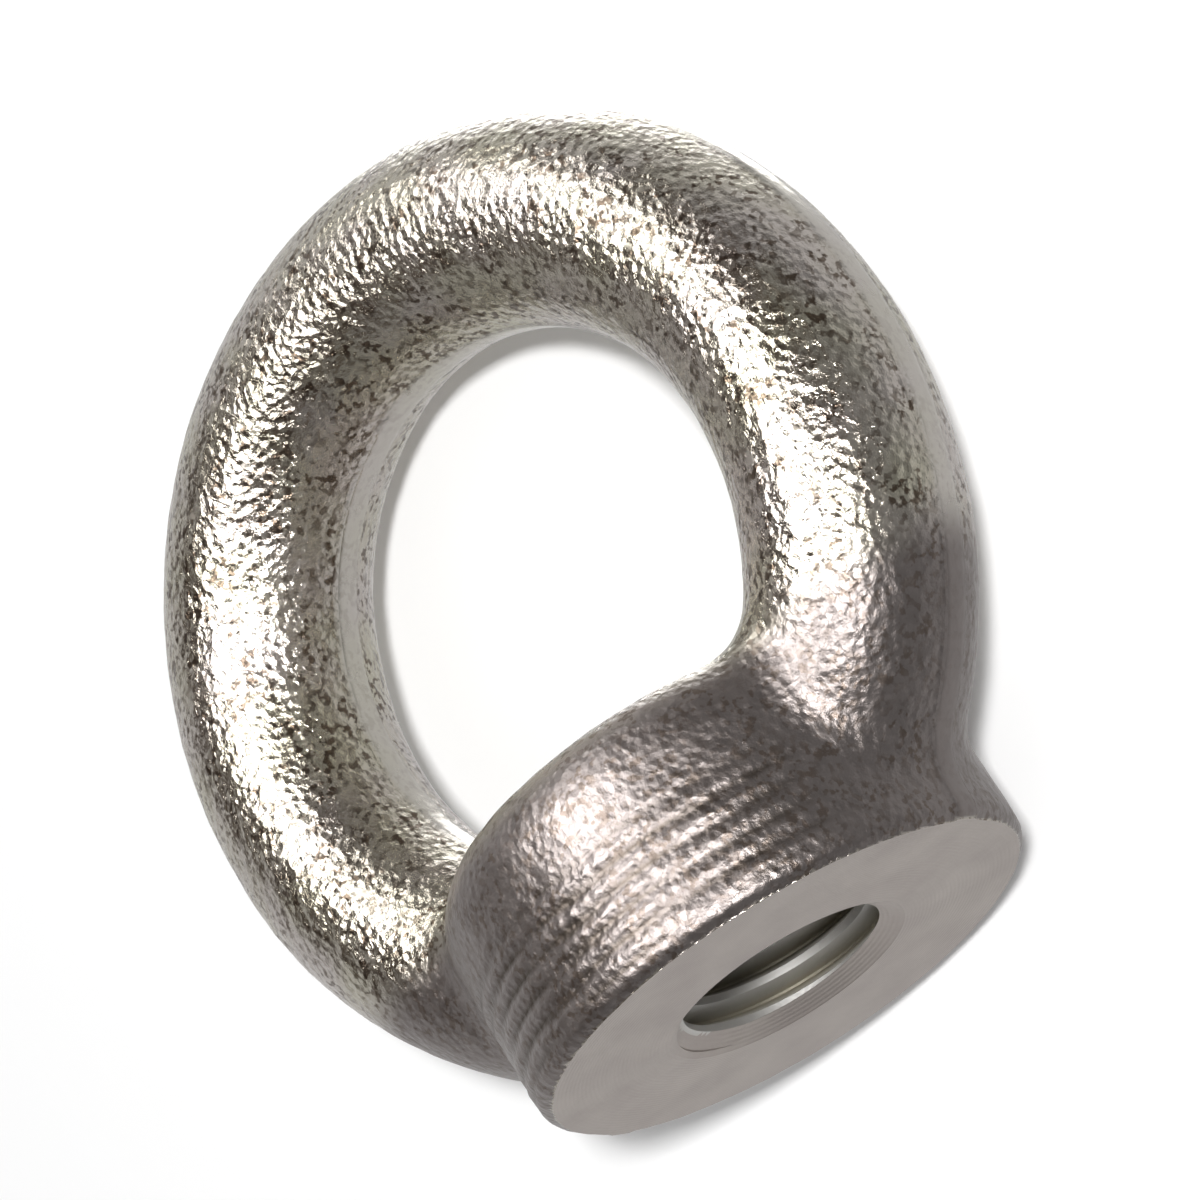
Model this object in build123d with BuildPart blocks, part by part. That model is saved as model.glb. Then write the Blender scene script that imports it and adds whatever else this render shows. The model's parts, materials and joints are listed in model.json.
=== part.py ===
from build123d import *
import os

# Lifting eye nut, M16, forged in one piece: a round boss with a threaded bore
# and a closed ring above it.
#
# Frame: millimetres, +Z up.  The origin is the centre of the machined seat face.
# The thread axis is Z, the ring stands in the XZ plane, and the eye opens along Y.

# --- driving dimensions ----------------------------------------------------
boss_diameter = 35.0          # round boss that carries the thread
boss_height = 16.0            # seat face to the top of the boss, inside the eye
boss_shoulder_radius = 4.5    # forged round where the boss turns over into the eye
seat_edge_radius = 1.0        # rolled edge round the seat face

ring_outer_diameter = 63.0    # over the whole ring
eye_diameter = 35.0           # opening inside the ring
total_height = 62.0           # seat face to the crown of the ring
crown_thickness = 14.0        # ring section along Y, at the crown
root_thickness = 16.0         # ring section along Y, at the foot inside the boss
root_blend_radius = 5.0       # hollow between the ring and the boss

thread_diameter = 16.0        # M16 coarse thread
thread_pitch = 2.0
seat_mouth_diameter = 16.8    # countersink where the thread opens on the seat
eye_mouth_diameter = 15.8     # countersink where the thread opens into the eye
countersink_angle = 120.0     # both mouths

# --- sizes that follow ------------------------------------------------------
boss_radius = boss_diameter / 2
section_radial = (ring_outer_diameter - eye_diameter) / 2
ring_radius = (ring_outer_diameter + eye_diameter) / 4
ring_centre_z = total_height - ring_outer_diameter / 2
thread_minor_diameter = thread_diameter - 1.0825 * thread_pitch


def ring_section_plane(angle):
    """Plane across the ring, at an angle from the foot round to the crown."""
    outward = Vector(0, 0, -1).rotate(Axis.Y, -angle)
    centre = Vector(0, 0, ring_centre_z) + outward * ring_radius
    return Plane(origin=centre, x_dir=outward, z_dir=Vector(0, 1, 0).cross(outward))


# --- the forging ------------------------------------------------------------
with BuildPart() as eye_nut:
    # ring, swept round one side of the eye, thinner along Y towards the crown
    with BuildLine(Plane.XZ) as half_ring:
        CenterArc((0, ring_centre_z), ring_radius, -90, 180)
    for angle in (0, 90, 180):
        thickness = root_thickness + (crown_thickness - root_thickness) * angle / 180
        with BuildSketch(ring_section_plane(angle)):
            Ellipse(section_radial / 2, thickness / 2)
    sweep(path=half_ring.line, multisection=True)
    mirror(about=Plane.YZ)

    # the foot of the ring stops at the seat face
    split(bisect_by=Plane.XY, keep=Keep.TOP)

    # boss, turned about the thread axis
    with BuildSketch(Plane.XZ) as boss_profile:
        Rectangle(boss_radius, boss_height, align=(Align.MIN, Align.MIN))
        shoulder = boss_profile.vertices().group_by(Axis.X)[-1].sort_by(Axis.Y)[-1]
        fillet(shoulder, boss_shoulder_radius)
    revolve(axis=Axis.Z)

    # hollow blend where each side of the ring leaves the boss
    ring_roots = edges(Select.NEW)
    fillet(ring_roots, root_blend_radius)

    # rolled edge of the seat face
    seat_edge = edges().filter_by(GeomType.CIRCLE).group_by(Axis.Z)[0]
    fillet(seat_edge, seat_edge_radius)

    # threaded bore, cut to the thread's minor diameter and countersunk at both ends
    with Locations(Plane.XY.rotated((180, 0, 0))):
        CounterSinkHole(
            thread_minor_diameter / 2,
            seat_mouth_diameter / 2,
            depth=boss_height,
            counter_sink_angle=countersink_angle,
        )
    with Locations((0, 0, boss_height)):
        CounterSinkHole(
            thread_minor_diameter / 2,
            eye_mouth_diameter / 2,
            depth=boss_height,
            counter_sink_angle=countersink_angle,
        )

eye_nut.part.label = "eye_nut"

# --- write ------------------------------------------------------------------
os.makedirs("parts", exist_ok=True)
export_step(eye_nut.part, "parts/eye_nut.step")
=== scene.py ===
"""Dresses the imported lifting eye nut: forged and plated surface, machined seat,
cut thread, and a plain white stage."""

import json
import math

import bmesh
import bpy
import numpy as np
from mathutils import Matrix, Vector, noise


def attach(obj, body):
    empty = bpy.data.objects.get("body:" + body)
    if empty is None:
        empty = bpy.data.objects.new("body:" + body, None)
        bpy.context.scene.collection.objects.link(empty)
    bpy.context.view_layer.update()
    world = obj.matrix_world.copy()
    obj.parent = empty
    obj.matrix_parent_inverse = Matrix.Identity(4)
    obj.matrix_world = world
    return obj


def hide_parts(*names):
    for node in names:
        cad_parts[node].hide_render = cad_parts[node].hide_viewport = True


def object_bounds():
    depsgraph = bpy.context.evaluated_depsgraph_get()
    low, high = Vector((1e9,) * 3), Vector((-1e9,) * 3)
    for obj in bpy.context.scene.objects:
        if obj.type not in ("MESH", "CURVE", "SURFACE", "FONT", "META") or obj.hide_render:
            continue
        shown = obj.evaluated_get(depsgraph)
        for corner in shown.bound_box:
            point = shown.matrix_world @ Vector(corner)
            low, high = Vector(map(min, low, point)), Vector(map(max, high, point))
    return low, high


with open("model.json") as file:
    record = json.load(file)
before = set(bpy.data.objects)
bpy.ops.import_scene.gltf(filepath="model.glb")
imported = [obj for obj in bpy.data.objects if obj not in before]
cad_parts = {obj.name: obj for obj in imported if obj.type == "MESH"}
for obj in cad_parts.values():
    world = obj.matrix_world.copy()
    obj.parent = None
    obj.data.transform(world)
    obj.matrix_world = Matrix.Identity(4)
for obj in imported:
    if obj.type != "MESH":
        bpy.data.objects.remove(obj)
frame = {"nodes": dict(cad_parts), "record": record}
cad_low, cad_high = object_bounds()

MM = 0.001
TAU = 2 * math.pi

# --- sizes from the frame ---------------------------------------------------
mounts = {mount["name"]: mount for mount in frame["record"]["mounts"]}
THREAD_CREST = mounts["thread"]["dims"]["r_mm"] * MM
BOSS_RADIUS = (cad_high.y - cad_low.y) / 2
BOX_CENTRE = (cad_low + cad_high) / 2

# --- sizes of the forging that the frame doesn't give -----------------------
BOSS_HEIGHT = 16 * MM
SHOULDER = 4.5 * MM            # radius of the boss's upper edge
SEAT_RADIUS = BOSS_RADIUS - 1 * MM
SEAT_MOUTH = 8.4 * MM          # countersink radius on the seat
EYE_MOUTH = 7.9 * MM           # countersink radius inside the eye
MOUTH_SLOPE = math.tan(math.radians(60))

# --- the thread -------------------------------------------------------------
THREAD_PITCH = 2 * MM
THREAD_ROOT = THREAD_CREST + 0.5412 * THREAD_PITCH   # depth of a metric thread in a nut
CREST_SHARE = 0.25             # of a pitch that is crest
FLANK_SHARE = 0.3125           # of a pitch that is one flank
THREAD_SEGMENTS = 96           # points in one turn
ROWS_PER_PITCH = 12            # points along one pitch

# --- sizes of the finish ----------------------------------------------------
LAND_HALF_WIDTH = 1.1 * MM     # trimmed flash line in the plane of the ring
LAND_HEIGHT = 0.12 * MM
LUMP_HEIGHT = 0.10 * MM
DENT_HEIGHT = 0.03 * MM
GRAIN_HEIGHT = 0.03 * MM
RIDGE_HEIGHT = 0.14 * MM
RIDGE_SPACING = 1.45 * MM
RIDGE_WANDER = 0.35 * MM       # how far a ridge strays up and down
PEBBLE_BUMP = 0.12 * MM
GRIT_BUMP = 0.07 * MM
LATHE_BUMP = 0.012 * MM
SCUFF_BUMP = 0.02 * MM
VOXEL = 0.36 * MM
WELD = 0.002 * MM              # points nearer than this become one
SHARP_EDGE = math.radians(38)

# slots of the piece's materials, in the order they are added
FORGED, MACHINED, THREADED = 0, 1, 2


# --- mesh helpers -----------------------------------------------------------
def new_object(name, mesh):
    obj = bpy.data.objects.new(name, mesh)
    bpy.context.scene.collection.objects.link(obj)
    return obj


def mesh_from(bm, name):
    """The bmesh as a new mesh; the bmesh is freed."""
    mesh = bpy.data.meshes.new(name)
    bm.to_mesh(mesh)
    bm.free()
    return mesh


def applied(obj):
    """The object's mesh with its modifiers, as a new mesh; the object is removed."""
    depsgraph = bpy.context.evaluated_depsgraph_get()
    mesh = bpy.data.meshes.new_from_object(obj.evaluated_get(depsgraph))
    bpy.data.objects.remove(obj)
    return mesh


def add_cylinder(bm, radius, low, high, segments=96):
    matrix = Matrix.Translation((0, 0, (low + high) / 2))
    bmesh.ops.create_cone(
        bm, cap_ends=True, segments=segments, radius1=radius, radius2=radius,
        depth=high - low, matrix=matrix,
    )


def smoothstep(low, high, x):
    t = np.clip((x - low) / (high - low), 0, 1)
    return t * t * (3 - 2 * t)


def noise_field(points, size, seed, octaves=1):
    """Smooth noise of about -1 to 1 at each point, with lumps of the given size."""
    offset = Vector((seed * 17.3, seed * 5.1, seed * 9.7))
    values = np.empty(len(points))
    for i, point in enumerate(points):
        values[i] = noise.fractal(Vector(point) / size + offset, 1.0, 2.0, octaves)
    return values


def coordinates(mesh):
    points = np.empty(len(mesh.vertices) * 3)
    mesh.vertices.foreach_get("co", points)
    return points.reshape(-1, 3)


def normals(mesh):
    values = np.empty(len(mesh.vertices) * 3, np.float32)
    mesh.vertex_normals.foreach_get("vector", values)
    return values.reshape(-1, 3).astype(float)


# --- the forged blank -------------------------------------------------------
def blank_mesh():
    """The CAD forging with its bore filled, remeshed finely and evenly."""
    bm = bmesh.new()
    bm.from_mesh(frame["nodes"]["eye_nut"].data)
    add_cylinder(bm, SEAT_MOUTH + 0.3 * MM, 0.2 * MM, BOSS_HEIGHT)
    # the seat reaches below zero here, and is cut flat later
    add_cylinder(bm, SEAT_RADIUS, -2 * MM, 0.5 * MM)
    blank = new_object("blank", mesh_from(bm, "blank"))
    remesh = blank.modifiers.new("remesh", "REMESH")
    remesh.mode = "VOXEL"
    remesh.voxel_size = VOXEL
    smooth = blank.modifiers.new("smooth", "SMOOTH")
    smooth.iterations = 3
    return applied(blank)


def land_mask(points, facing):
    """1 on the narrow flat that trimming the flash leaves, 0 elsewhere."""
    x, y, z = points.T
    from_axis = np.hypot(x, y)
    across = 1 - smoothstep(LAND_HALF_WIDTH * 0.85, LAND_HALF_WIDTH * 1.1, abs(y))
    in_plane = 1 - smoothstep(0.35, 0.5, abs(facing[:, 1]))
    boss_top = (from_axis < BOSS_RADIUS - 3 * MM) & (z < BOSS_HEIGHT + 1.5 * MM)
    return across * in_plane * ~boss_top


def ridge_mask(points, facing):
    """1 on the lower part of the boss side, where faint rings go round it."""
    x, y, z = points.T
    from_axis = np.hypot(x, y)
    on_side = smoothstep(BOSS_RADIUS - 1.2 * MM, BOSS_RADIUS - 0.5 * MM, from_axis)
    near = 1 - smoothstep(BOSS_RADIUS + 0.2 * MM, BOSS_RADIUS + 0.8 * MM, from_axis)
    height = smoothstep(0.8 * MM, 1.4 * MM, z) * (1 - smoothstep(7 * MM, 10 * MM, z))
    clear_of_ring = 1 - smoothstep(13 * MM, 15.5 * MM, abs(x))
    upright = abs(facing[:, 2]) < 0.5
    return on_side * near * height * clear_of_ring * upright


def boss_mask(points):
    """1 on the side of the boss, fading out where the ring leaves it: there the forged material is
    rougher and painted darker as painted shade.
    """
    on_boss = smoothstep(14.5 * MM, 16.5 * MM, np.hypot(points[:, 0], points[:, 1]))
    on_boss *= 1 - smoothstep(13 * MM, 17 * MM, points[:, 2])
    return on_boss


def weather(mesh):
    """Pushes the surface in and out as forging leaves it, and marks it for the material, including
    the valleys between the boss rings, which get painted shade.
    """
    points = coordinates(mesh)
    facing = normals(mesh)
    land = land_mask(points, facing)
    ridges = ridge_mask(points, facing)
    lumps = noise_field(points, size=8 * MM, seed=1) * LUMP_HEIGHT
    dents = noise_field(points, size=2.6 * MM, seed=2, octaves=2) * DENT_HEIGHT
    grain = noise_field(points, size=1.0 * MM, seed=3) * GRAIN_HEIGHT
    wander = noise_field(points, size=6 * MM, seed=4) * RIDGE_WANDER
    rings = np.sin((points[:, 2] + wander) / RIDGE_SPACING * TAU)
    rings *= 0.65 + 0.35 * noise_field(points, size=4 * MM, seed=5)
    # the valleys between the boss rings, which the material paints darker as painted shade
    valley_shade = smoothstep(0.2, 0.7, -rings) * ridges
    height = lumps + dents * (1 - 0.6 * land) + grain * (1 - 0.8 * land) * (1 - 0.6 * ridges)
    height += LAND_HEIGHT * land + rings * ridges * RIDGE_HEIGHT
    points += facing * height[:, None]
    for name, values in (("land", land), ("valley_shade", valley_shade), ("boss", boss_mask(points))):
        attribute = mesh.attributes.new(name, "FLOAT", "POINT")
        attribute.data.foreach_set("value", values.astype(np.float32))
    mesh.vertices.foreach_set("co", points.ravel())
    mesh.update()


# --- cutters ----------------------------------------------------------------
def thread_radius(share):
    """Radius at a share of one pitch: crest flat, flank, root flat, flank."""
    depth = THREAD_ROOT - THREAD_CREST
    if share < CREST_SHARE:
        return THREAD_CREST
    if share < CREST_SHARE + FLANK_SHARE:
        return THREAD_CREST + depth * (share - CREST_SHARE) / FLANK_SHARE
    if share < 1 - FLANK_SHARE:
        return THREAD_ROOT
    return THREAD_CREST + depth * (1 - share) / FLANK_SHARE


def thread_points(low, rows):
    """Points of the plug's side.  Each row is one turn, which climbs one pitch."""
    points = []
    for row in range(rows):
        for column in range(THREAD_SEGMENTS):
            turn = column / THREAD_SEGMENTS
            z = low + (row / ROWS_PER_PITCH + turn) * THREAD_PITCH
            r = thread_radius(row / ROWS_PER_PITCH % 1)
            points.append((r * math.cos(turn * TAU), r * math.sin(turn * TAU), z))
    return points


def thread_side(rows):
    """Faces between neighbouring rows, and over the seam from a turn's end to the next start."""
    faces = []
    for row in range(rows - 1):
        for column in range(THREAD_SEGMENTS - 1):
            a = row * THREAD_SEGMENTS + column
            faces.append((a, a + 1, a + 1 + THREAD_SEGMENTS, a + THREAD_SEGMENTS))
    for row in range(rows - 1 - ROWS_PER_PITCH):
        a = row * THREAD_SEGMENTS + THREAD_SEGMENTS - 1
        b = (row + ROWS_PER_PITCH) * THREAD_SEGMENTS
        faces.append((a, b, b + THREAD_SEGMENTS, a + THREAD_SEGMENTS))
    return faces


def thread_mesh():
    """A threaded plug as long as the bore and more: what the tap takes away."""
    low = -2 * THREAD_PITCH
    high = BOSS_HEIGHT + 2 * THREAD_PITCH
    rows = round((high - low) / THREAD_PITCH * ROWS_PER_PITCH)
    vertices = thread_points(low, rows)
    faces = thread_side(rows)

    # each open end runs round one turn and back along the seam
    last = (rows - 1) * THREAD_SEGMENTS
    seam = [row * THREAD_SEGMENTS for row in range(ROWS_PER_PITCH + 1)]
    bottom = list(range(THREAD_SEGMENTS)) + seam[:0:-1]
    top = [last + column for column in range(THREAD_SEGMENTS)]
    top += [last + THREAD_SEGMENTS - 1 - step for step in seam[1:]]

    bottom_tip = len(vertices)
    top_tip = bottom_tip + 1
    vertices.append((0, 0, low))
    vertices.append((0, 0, high + THREAD_PITCH))
    for i, a in enumerate(bottom):
        faces.append((bottom[(i + 1) % len(bottom)], a, bottom_tip))
    for i, a in enumerate(top):
        faces.append((a, top[(i + 1) % len(top)], top_tip))

    mesh = bpy.data.meshes.new("thread")
    mesh.from_pydata(vertices, [], faces)
    mesh.update()
    return mesh


def mouth_mesh(radius, z, up):
    """A cone that opens a mouth of the given radius at height z, on the upper or lower side."""
    spare = 2 * MM
    wide = radius + spare * MOUTH_SLOPE
    narrow = radius - spare * MOUTH_SLOPE
    bm = bmesh.new()
    bmesh.ops.create_cone(
        bm, cap_ends=True, segments=128, depth=2 * spare,
        radius1=narrow if up else wide, radius2=wide if up else narrow,
        matrix=Matrix.Translation((0, 0, z)),
    )
    return mesh_from(bm, "mouth")


def below_seat_mesh():
    """A disc below the seat, which faces it off flat at zero height."""
    bm = bmesh.new()
    add_cylinder(bm, 2 * BOSS_RADIUS, -6 * MM, 0)
    return mesh_from(bm, "below_seat")


def cut(mesh, cutter_mesh):
    body = new_object("body", mesh)
    cutter = new_object("cutter", cutter_mesh)
    boolean = body.modifiers.new("cut", "BOOLEAN")
    boolean.operation = "DIFFERENCE"
    boolean.solver = "MANIFOLD"
    boolean.object = cutter
    result = applied(body)
    bpy.data.objects.remove(cutter)
    return result


def welded(mesh):
    """Closes up the hairline slivers that the cuts leave."""
    bm = bmesh.new()
    bm.from_mesh(mesh)
    bmesh.ops.remove_doubles(bm, verts=bm.verts, dist=WELD)
    bmesh.ops.dissolve_degenerate(bm, edges=bm.edges, dist=WELD)
    bmesh.ops.triangulate(bm, faces=bm.faces)
    bm.to_mesh(mesh)
    bm.free()
    return mesh


# --- materials --------------------------------------------------------------
class Nodes:
    """Short calls for building a node tree."""

    def __init__(self, name=None, tree=None):
        if tree is None:
            self.material = bpy.data.materials.new(name)
            self.material.use_nodes = True
            tree = self.material.node_tree
        self.tree = tree
        self.tree.nodes.clear()

    def put(self, value, socket):
        """Links a socket to the input, or sets the input to a constant."""
        if isinstance(value, bpy.types.NodeSocket):
            self.tree.links.new(value, socket)
        else:
            socket.default_value = value

    def add(self, kind, inputs=None, **settings):
        made = self.tree.nodes.new(kind)
        for key, value in settings.items():
            setattr(made, key, value)
        for key, value in (inputs or {}).items():
            self.put(value, made.inputs[key])
        return made

    def position_mm(self):
        """Object coordinates in millimetres."""
        place = self.add("ShaderNodeTexCoord")
        return self.add(
            "ShaderNodeVectorMath", {0: place.outputs["Object"], "Scale": 1 / MM}, operation="SCALE"
        ).outputs[0]

    def noise(self, vector, scale, detail=2.0, roughness=0.5):
        made = self.add(
            "ShaderNodeTexNoise",
            {"Vector": vector, "Scale": scale, "Detail": detail, "Roughness": roughness},
        )
        return made.outputs["Fac"]

    def remap(self, value, low, high, to_low=0.0, to_high=1.0):
        made = self.add(
            "ShaderNodeMapRange",
            {"Value": value, "From Min": low, "From Max": high, "To Min": to_low, "To Max": to_high},
        )
        return made.outputs["Result"]

    def math(self, operation, a, b):
        return self.add("ShaderNodeMath", {0: a, 1: b}, operation=operation).outputs[0]

    def mix(self, factor, a, b):
        """Colour a at factor 0, and b at factor 1."""
        made = self.add("ShaderNodeMix", data_type="RGBA")
        self.put(factor, made.inputs[0])
        self.put(a, made.inputs[6])
        self.put(b, made.inputs[7])
        return made.outputs[2]

    def bump(self, height, distance, normal=None):
        inputs = {"Height": height, "Distance": distance, "Strength": 1.0}
        if normal is not None:
            inputs["Normal"] = normal
        return self.add("ShaderNodeBump", inputs).outputs["Normal"]

    def attribute(self, name):
        return self.add("ShaderNodeAttribute", attribute_name=name).outputs["Fac"]

    def finish(self, **inputs):
        """The metal's shader, with its inputs named as in Blender."""
        named = {key.replace("_", " "): value for key, value in inputs.items()}
        shader = self.add("ShaderNodeBsdfPrincipled", named)
        self.output("ShaderNodeOutputMaterial", shader)
        return self.material

    def output(self, kind, shader):
        out = self.add(kind)
        self.tree.links.new(shader.outputs[0], out.inputs["Surface"])


def forged_bumps(n, place, grained):
    """Pebbled skin with a finer grit on it."""
    pebble = n.add(
        "ShaderNodeTexVoronoi", {"Vector": place, "Scale": 1.6, "Smoothness": 0.5},
        feature="SMOOTH_F1",
    ).outputs["Distance"]
    grit = n.noise(place, 3.4, 3.0, 0.6)
    normal = n.bump(n.math("MULTIPLY", pebble, grained), PEBBLE_BUMP)
    return n.bump(n.math("MULTIPLY", grit, grained), GRIT_BUMP, normal)


def forged_film(n, place, grained):
    """1 where a dull brown film is left between the grains."""
    film = n.remap(n.noise(place, 1.9, 2.0), 0.505, 0.59)
    patches = n.remap(n.noise(place, 0.5, 2.0), 0.38, 0.58, 0.2, 1.0)
    film = n.math("MULTIPLY", film, patches)
    return n.math("MULTIPLY", film, grained)


def forged_material():
    """Bright plating over a rough, grained forging, with painted shade on the boss side and in the
    valleys between the boss rings.
    """
    greenish = (0.45, 0.425, 0.345, 1)
    silvery = (0.465, 0.425, 0.395, 1)
    land_metal = (0.48, 0.46, 0.43, 1)
    # painted shade: a darker colour for the boss side, which holds back the key lamp's strong
    # highlight there
    boss_painted_shade = (0.196, 0.174, 0.166, 1)
    film_brown = (0.085, 0.057, 0.037, 1)
    # painted shade for the valleys between the boss rings
    valley_shade_grey = (0.080, 0.066, 0.055, 1)

    n = Nodes("forged_zinc")
    place = n.position_mm()
    land = n.attribute("land")
    boss = n.attribute("boss")
    smoother = n.math("MAXIMUM", n.math("MULTIPLY", land, 0.85), n.math("MULTIPLY", boss, 0.38))
    grained = n.math("SUBTRACT", 1.0, smoother)
    normal = forged_bumps(n, place, grained)
    film = forged_film(n, place, grained)

    tone = n.remap(n.noise(place, 0.16, 2.0), 0.35, 0.65)
    metal = n.mix(tone, greenish, silvery)
    metal = n.mix(n.math("MULTIPLY", land, 0.5), metal, land_metal)
    # painted shade: the boss side is painted darker, to dim the key lamp's highlight on it
    metal = n.mix(boss, metal, boss_painted_shade)
    metal = n.mix(n.math("MULTIPLY", film, 0.90), metal, film_brown)
    # painted shade: the valleys between the boss rings are painted darker
    metal = n.mix(n.attribute("valley_shade"), metal, valley_shade_grey)
    rough = n.remap(n.noise(place, 0.9, 2.0), 0.3, 0.7, 0.18, 0.28)
    rough = n.math("ADD", rough, n.math("MULTIPLY", boss, 0.17))
    return n.finish(Base_Color=metal, Metallic=1.0, Roughness=rough, Normal=normal)


def machined_material():
    """Flat seat, faced in a lathe and plated."""
    duller = (0.39, 0.350, 0.328, 1)
    brighter = (0.44, 0.400, 0.372, 1)

    n = Nodes("machined_seat")
    place = n.position_mm()
    flat = n.add("ShaderNodeVectorMath", {0: place, 1: (1, 1, 0)}, operation="MULTIPLY").outputs[0]
    rings = n.add(
        "ShaderNodeTexWave",
        {"Vector": flat, "Scale": 1.1, "Distortion": 0.4, "Detail": 1.0},
        wave_type="RINGS", rings_direction="SPHERICAL",
    ).outputs["Fac"]
    normal = n.bump(rings, LATHE_BUMP)
    normal = n.bump(n.noise(place, 2.5, 3.0), SCUFF_BUMP, normal)
    tone = n.remap(n.noise(place, 0.22, 3.0), 0.35, 0.65)
    metal = n.mix(tone, duller, brighter)
    return n.finish(Base_Color=metal, Metallic=1.0, Roughness=0.5, Normal=normal)


def thread_material():
    """Cut thread, lighter on its crests and painted darker towards its roots as painted shade."""
    bright = (0.56, 0.55, 0.53, 1)
    # painted shade for the thread's roots
    root_shade = (0.28, 0.26, 0.21, 1)

    n = Nodes("cut_thread")
    place = n.position_mm()
    split = n.add("ShaderNodeSeparateXYZ", {0: place})
    squares = n.math(
        "ADD",
        n.math("POWER", split.outputs[0], 2.0),
        n.math("POWER", split.outputs[1], 2.0),
    )
    radius = n.math("SQRT", squares, 0.0)
    deep = n.remap(radius, THREAD_CREST / MM + 0.1, THREAD_ROOT / MM)
    # painted shade: the thread is painted darker from its crests towards its roots
    metal = n.mix(deep, bright, root_shade)
    normal = n.bump(n.noise(place, 3.0, 2.0), SCUFF_BUMP)
    return n.finish(Base_Color=metal, Metallic=1.0, Roughness=0.55, Normal=normal)


# --- the eye nut ------------------------------------------------------------
def material_slot(face):
    """The slot of a face's material, by where the face lies and which way it looks."""
    height = face.center.z
    from_axis = math.hypot(face.center.x, face.center.y)
    upward = face.normal.z
    on_seat = height < 0.01 * MM and upward < -0.99
    in_mouth = from_axis < SEAT_MOUTH and height < 0.95 * MM and upward < -0.7
    at_thread_start = from_axis < SEAT_MOUTH and height < 0.6 * MM
    if on_seat or in_mouth or at_thread_start:
        return MACHINED
    in_bore = from_axis < SEAT_MOUTH + 0.02 * MM and height < BOSS_HEIGHT + 0.5 * MM
    if in_bore and abs(upward) < 0.97:
        return THREADED
    return FORGED


def eye_nut_piece():
    """One rough forging, then faced, tapped and countersunk at both ends."""
    mesh = blank_mesh()
    weather(mesh)
    mesh = cut(mesh, below_seat_mesh())
    mesh = cut(mesh, thread_mesh())
    mesh = cut(mesh, mouth_mesh(SEAT_MOUTH, 0, up=False))
    mesh = cut(mesh, mouth_mesh(EYE_MOUTH, BOSS_HEIGHT, up=True))
    mesh = welded(mesh)
    mesh.name = "eye_nut_forging"
    mesh.materials.clear()
    for material in (forged_material(), machined_material(), thread_material()):
        mesh.materials.append(material)
    for face in mesh.polygons:
        face.material_index = material_slot(face)
    mesh.shade_smooth()
    mesh.set_sharp_from_angle(angle=SHARP_EDGE)
    for face in mesh.polygons:
        face.use_smooth = face.material_index != MACHINED
    piece = new_object("eye_nut_forging", mesh)
    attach(piece, "root")
    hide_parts("eye_nut")


eye_nut_piece()

# --- camera -----------------------------------------------------------------
# The nut is seen from in front and below, with its axis leaning to the left.
VIEW_AZIMUTH = math.radians(32)
VIEW_ELEVATION = math.radians(-22)
VIEW_ROLL = math.radians(-32)
VIEW_DISTANCE = 0.30
VIEW_SHIFT = (2.6 * MM, -2.4 * MM)   # aim, to the right of the box's centre and below it
VIEW_LENS = 139.0

TO_CAMERA = Vector((
    math.sin(VIEW_AZIMUTH) * math.cos(VIEW_ELEVATION),
    -math.cos(VIEW_AZIMUTH) * math.cos(VIEW_ELEVATION),
    math.sin(VIEW_ELEVATION),
))
LEVEL_RIGHT = Vector((math.cos(VIEW_AZIMUTH), math.sin(VIEW_AZIMUTH), 0))
LEVEL_UP = TO_CAMERA.cross(LEVEL_RIGHT)
VIEW_RIGHT = LEVEL_RIGHT * math.cos(VIEW_ROLL) + LEVEL_UP * math.sin(VIEW_ROLL)
VIEW_UP = TO_CAMERA.cross(VIEW_RIGHT)


def placed(right, up, back, origin):
    """A matrix whose local X, Y and Z lie along the three directions."""
    matrix = Matrix((right, up, back)).transposed().to_4x4()
    matrix.translation = origin
    return matrix


def make_camera():
    camera = bpy.data.objects.new("camera", bpy.data.cameras.new("camera"))
    bpy.context.scene.collection.objects.link(camera)
    camera.data.lens = VIEW_LENS
    camera.data.clip_start = 0.01
    camera.data.clip_end = 20
    aim = BOX_CENTRE + LEVEL_RIGHT * VIEW_SHIFT[0] + LEVEL_UP * VIEW_SHIFT[1]
    camera.matrix_world = placed(VIEW_RIGHT, VIEW_UP, TO_CAMERA, aim + TO_CAMERA * VIEW_DISTANCE)
    bpy.context.scene.camera = camera


make_camera()


# --- light ------------------------------------------------------------------
def picture_direction(right, up, back):
    """A direction given along the picture's right, its up and towards the camera."""
    return (VIEW_RIGHT * right + VIEW_UP * up + TO_CAMERA * back).normalized()


KEY_DIRECTION = picture_direction(-0.74, 0.13, 0.66)
CROWN_DIRECTION = picture_direction(-0.80, 0.58, 0.15)
FLASH_DIRECTION = picture_direction(-0.09, 0.09, 0.99)
COVE_DIRECTION = picture_direction(0.22, 0, -0.97)
BACK_DIRECTION = Vector((-0.06, 0.64, 0.77))
AMBIENT = 0.38
FLAG_COLOUR = (0.065, 0.040, 0.020, 1)


def softbox(name, direction, distance, side, power, ground=True):
    """A square lamp that faces the nut, and lights the white ground or leaves it alone."""
    lamp = bpy.data.lights.new(name, "AREA")
    lamp.shape = "RECTANGLE"
    lamp.size = side
    lamp.size_y = side
    lamp.energy = power
    obj = bpy.data.objects.new(name, lamp)
    bpy.context.scene.collection.objects.link(obj)
    obj.location = BOX_CENTRE + direction * distance
    obj.rotation_mode = "QUATERNION"
    obj.rotation_quaternion = direction.to_track_quat("Z", "Y")
    obj.visible_diffuse = ground


def make_lamps():
    """The key and crown lamps draw the bright band; the flash throws the shadow."""
    softbox("key", KEY_DIRECTION, 0.40, 0.19, 2.0, ground=False)
    softbox("crown", CROWN_DIRECTION, 0.50, 0.20, 0.8, ground=False)
    softbox("back", BACK_DIRECTION, 0.50, 0.28, 0.7, ground=False)
    softbox("flash", FLASH_DIRECTION, 0.60, 0.05, 3.4)


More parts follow.
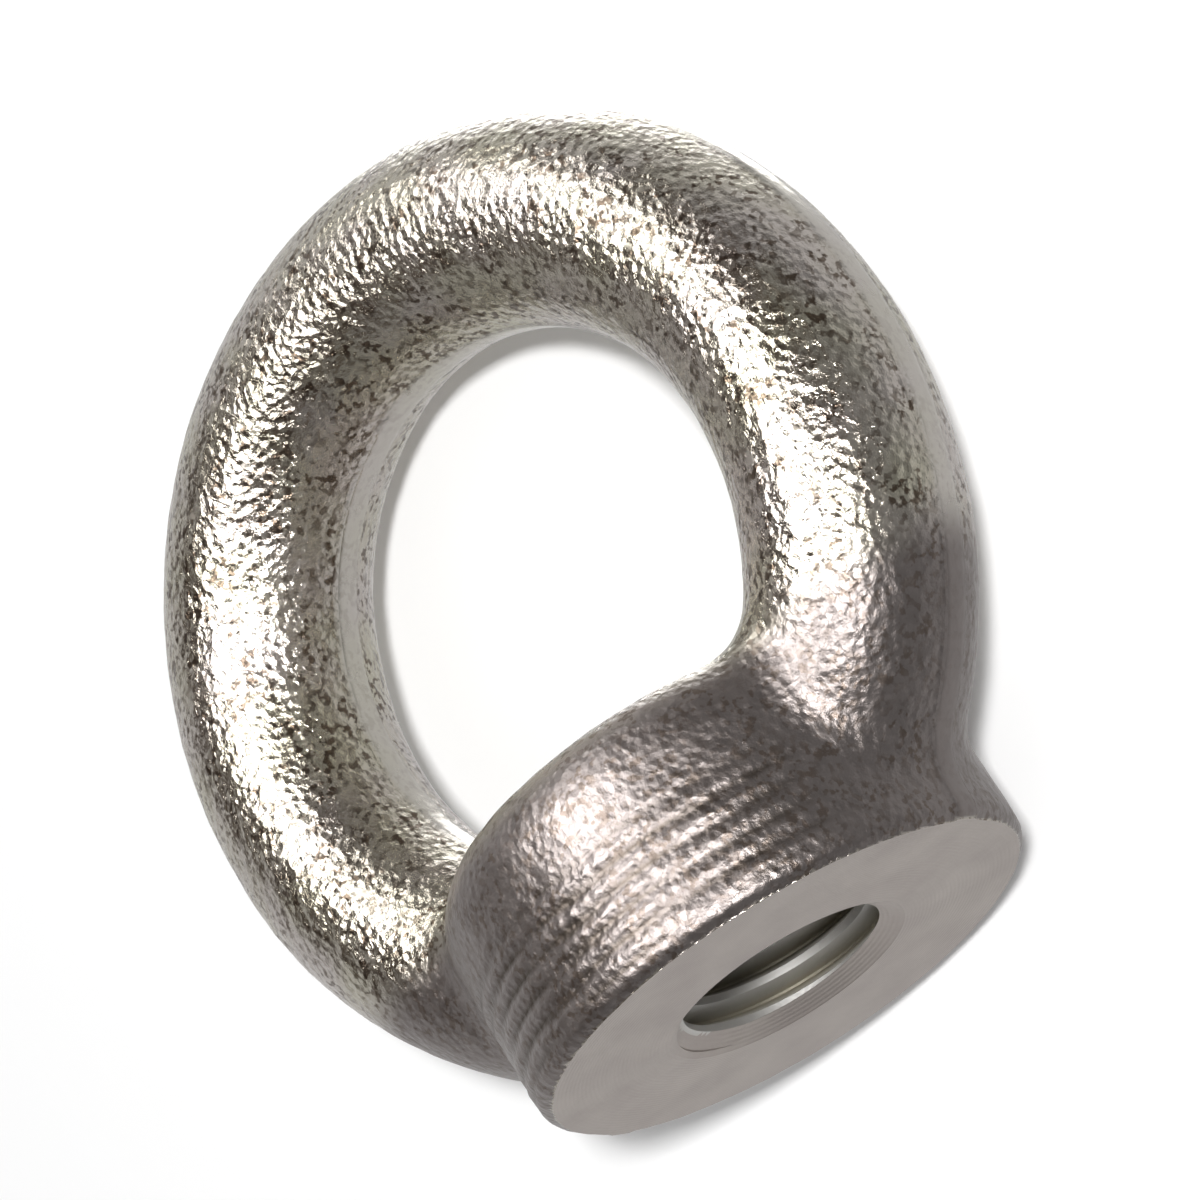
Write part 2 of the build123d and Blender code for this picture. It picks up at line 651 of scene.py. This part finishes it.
def make_world():
    """White to the camera.  The metal reflects a pale cove behind the nut, a dimmer room
    before it, and a dark brown flag round the key."""
    world = bpy.data.worlds.new("studio")
    bpy.context.scene.world = world
    world.use_nodes = True
    n = Nodes(tree=world.node_tree)
    place = n.add("ShaderNodeTexCoord").outputs["Generated"]

    def towards(direction, low, high, to_low, to_high):
        facing = n.add(
            "ShaderNodeVectorMath", {0: place, 1: direction}, operation="DOT_PRODUCT"
        ).outputs["Value"]
        return n.remap(facing, low, high, to_low, to_high)

    cove = towards(COVE_DIRECTION, -0.22, 0.22, 0.29, 0.80)
    flag = towards(KEY_DIRECTION, 0.28, 0.72, 0.0, 1.0)
    room = n.add("ShaderNodeBackground", {"Color": n.mix(flag, cove, FLAG_COLOUR)})
    ambient = n.add("ShaderNodeBackground", {"Color": (1, 1, 1, 1), "Strength": AMBIENT})
    white = n.add("ShaderNodeBackground", {"Color": (1, 1, 1, 1)})
    path = n.add("ShaderNodeLightPath")
    lit = n.add(
        "ShaderNodeMixShader",
        {0: path.outputs["Is Glossy Ray"], 1: ambient.outputs[0], 2: room.outputs[0]},
    )
    seen = n.add(
        "ShaderNodeMixShader",
        {0: path.outputs["Is Camera Ray"], 1: lit.outputs[0], 2: white.outputs[0]},
    )
    n.output("ShaderNodeOutputWorld", seen)


make_lamps()
make_world()

# --- stage ------------------------------------------------------------------
FLOOR_HALF = 4.0
FLOOR_FADE = (3.0, 3.9)        # distance where the floor starts to fade, and where it is gone
FLOOR_GLOW = 0.70
FLOOR_GAP = 0.02 * MM          # below the seat
TABLE_HALF = 0.14
TABLE_FADE = (0.07, 0.13)
TABLE_GLOW = 0.07
TABLE_TURN = math.radians(-3)
TABLE_GAP = 0.15 * MM          # behind the nut
BOSS_TOUCH = Vector((0, BOSS_RADIUS, BOSS_HEIGHT - SHOULDER))
RING_TOUCH = Vector((0, 7.3 * MM, 55 * MM))


def stage_material(name, fade, glow):
    """A white surface that only the camera sees, from its front, fading out with distance."""
    n = Nodes(name)
    place = n.add("ShaderNodeTexCoord").outputs["Object"]
    far = n.add("ShaderNodeVectorMath", {0: place}, operation="LENGTH").outputs["Value"]
    near = n.remap(far, fade[0], fade[1], 1.0, 0.0)
    path = n.add("ShaderNodeLightPath")
    facing = n.add("ShaderNodeNewGeometry")
    front = n.math("SUBTRACT", 1.0, facing.outputs["Backfacing"])
    shown = n.math("MULTIPLY", n.math("MULTIPLY", near, front), path.outputs["Is Camera Ray"])
    diffuse = n.add("ShaderNodeBsdfDiffuse", {"Color": (0.9, 0.9, 0.9, 1)})
    lit = n.add("ShaderNodeEmission", {"Color": (1, 1, 1, 1), "Strength": glow})
    white = n.add("ShaderNodeAddShader", {0: diffuse.outputs[0], 1: lit.outputs[0]})
    clear = n.add("ShaderNodeBsdfTransparent")
    mix = n.add("ShaderNodeMixShader", {0: shown, 1: clear.outputs[0], 2: white.outputs[0]})
    n.output("ShaderNodeOutputMaterial", mix)
    return n.material


def stage_plane(name, matrix, half, material):
    bm = bmesh.new()
    bmesh.ops.create_grid(bm, x_segments=1, y_segments=1, size=half)
    mesh = mesh_from(bm, name)
    mesh.materials.append(material)
    obj = new_object(name, mesh)
    obj.matrix_world = matrix


def make_floor():
    """The floor under the seat, seen only from above."""
    material = stage_material("floor_white", FLOOR_FADE, FLOOR_GLOW)
    stage_plane("floor", Matrix.Translation((0, 0, -FLOOR_GAP)), FLOOR_HALF, material)


def make_table():
    """The table the nut lies on in the picture: it touches the boss and the ring."""
    along = (RING_TOUCH - BOSS_TOUCH).normalized()
    turn = Matrix.Rotation(TABLE_TURN, 3, along)
    right = turn @ Vector((1, 0, 0))
    back = right.cross(along)
    origin = (BOSS_TOUCH + RING_TOUCH) / 2 - back * TABLE_GAP
    material = stage_material("table_white", TABLE_FADE, TABLE_GLOW)
    stage_plane("table", placed(right, along, back, origin), TABLE_HALF, material)


make_floor()
make_table()

bpy.context.scene.view_settings.view_transform = "Standard"
